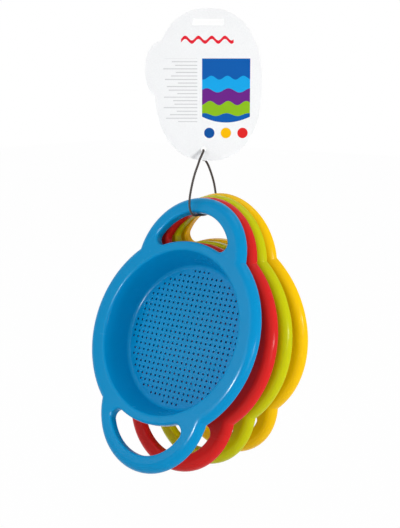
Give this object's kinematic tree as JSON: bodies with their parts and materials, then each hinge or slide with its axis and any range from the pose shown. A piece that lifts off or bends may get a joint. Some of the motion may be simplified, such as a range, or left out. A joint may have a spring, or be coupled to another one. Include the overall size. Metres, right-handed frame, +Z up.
{
  "type": "sand sieve set",
  "caption": "Nested round plastic sand sieves with perforated floors and two loop handles each, hung on a cord from a cut hang card",
  "frame": {"origin": "middle of the hang slot in the card", "axes": "+Z up, sieves symmetric about X = 0 and open towards -Y"},
  "size_m": [0.2, 0.1634, 0.4476],
  "materials": {
    "card": "coated paperboard",
    "cord": "braided",
    "blue_plastic": "glossy moulded",
    "red_plastic": "glossy moulded",
    "lime_plastic": "glossy moulded",
    "yellow_plastic": "glossy moulded"
  },
  "bodies": {
    "card": {"hang_card": "card"},
    "cord": {"hang_cord": "cord", "cord_knot": "cord"},
    "blue": {"blue_sieve": "blue_plastic"},
    "red": {"red_sieve": "red_plastic"},
    "lime": {"lime_sieve": "lime_plastic"},
    "yellow": {"yellow_sieve": "yellow_plastic"}
  },
  "joints": [
    {"name": "cord_turn", "type": "hinge", "parent": "card", "child": "cord", "pos_m": [-0.00358, -0.0029, -0.12], "axis": [0, 0, 1], "range_deg": [-30, 30]},
    {"name": "blue_swing", "type": "hinge", "parent": "cord", "child": "blue", "pos_m": [0, -0.00829, -0.18396], "axis": [-1, 0, 0], "range_deg": [-3, 2]},
    {"name": "red_swing", "type": "hinge", "parent": "cord", "child": "red", "pos_m": [0, 0.00266, -0.18481], "axis": [-1, 0, 0], "range_deg": [0, 2.5]},
    {"name": "lime_swing", "type": "hinge", "parent": "cord", "child": "lime", "pos_m": [0, 0.01337, -0.18407], "axis": [-1, 0, 0], "range_deg": [0, 4]},
    {"name": "yellow_swing", "type": "hinge", "parent": "cord", "child": "yellow", "pos_m": [0, 0.02404, -0.18335], "axis": [-1, 0, 0], "range_deg": [0, 6]}
  ]
}
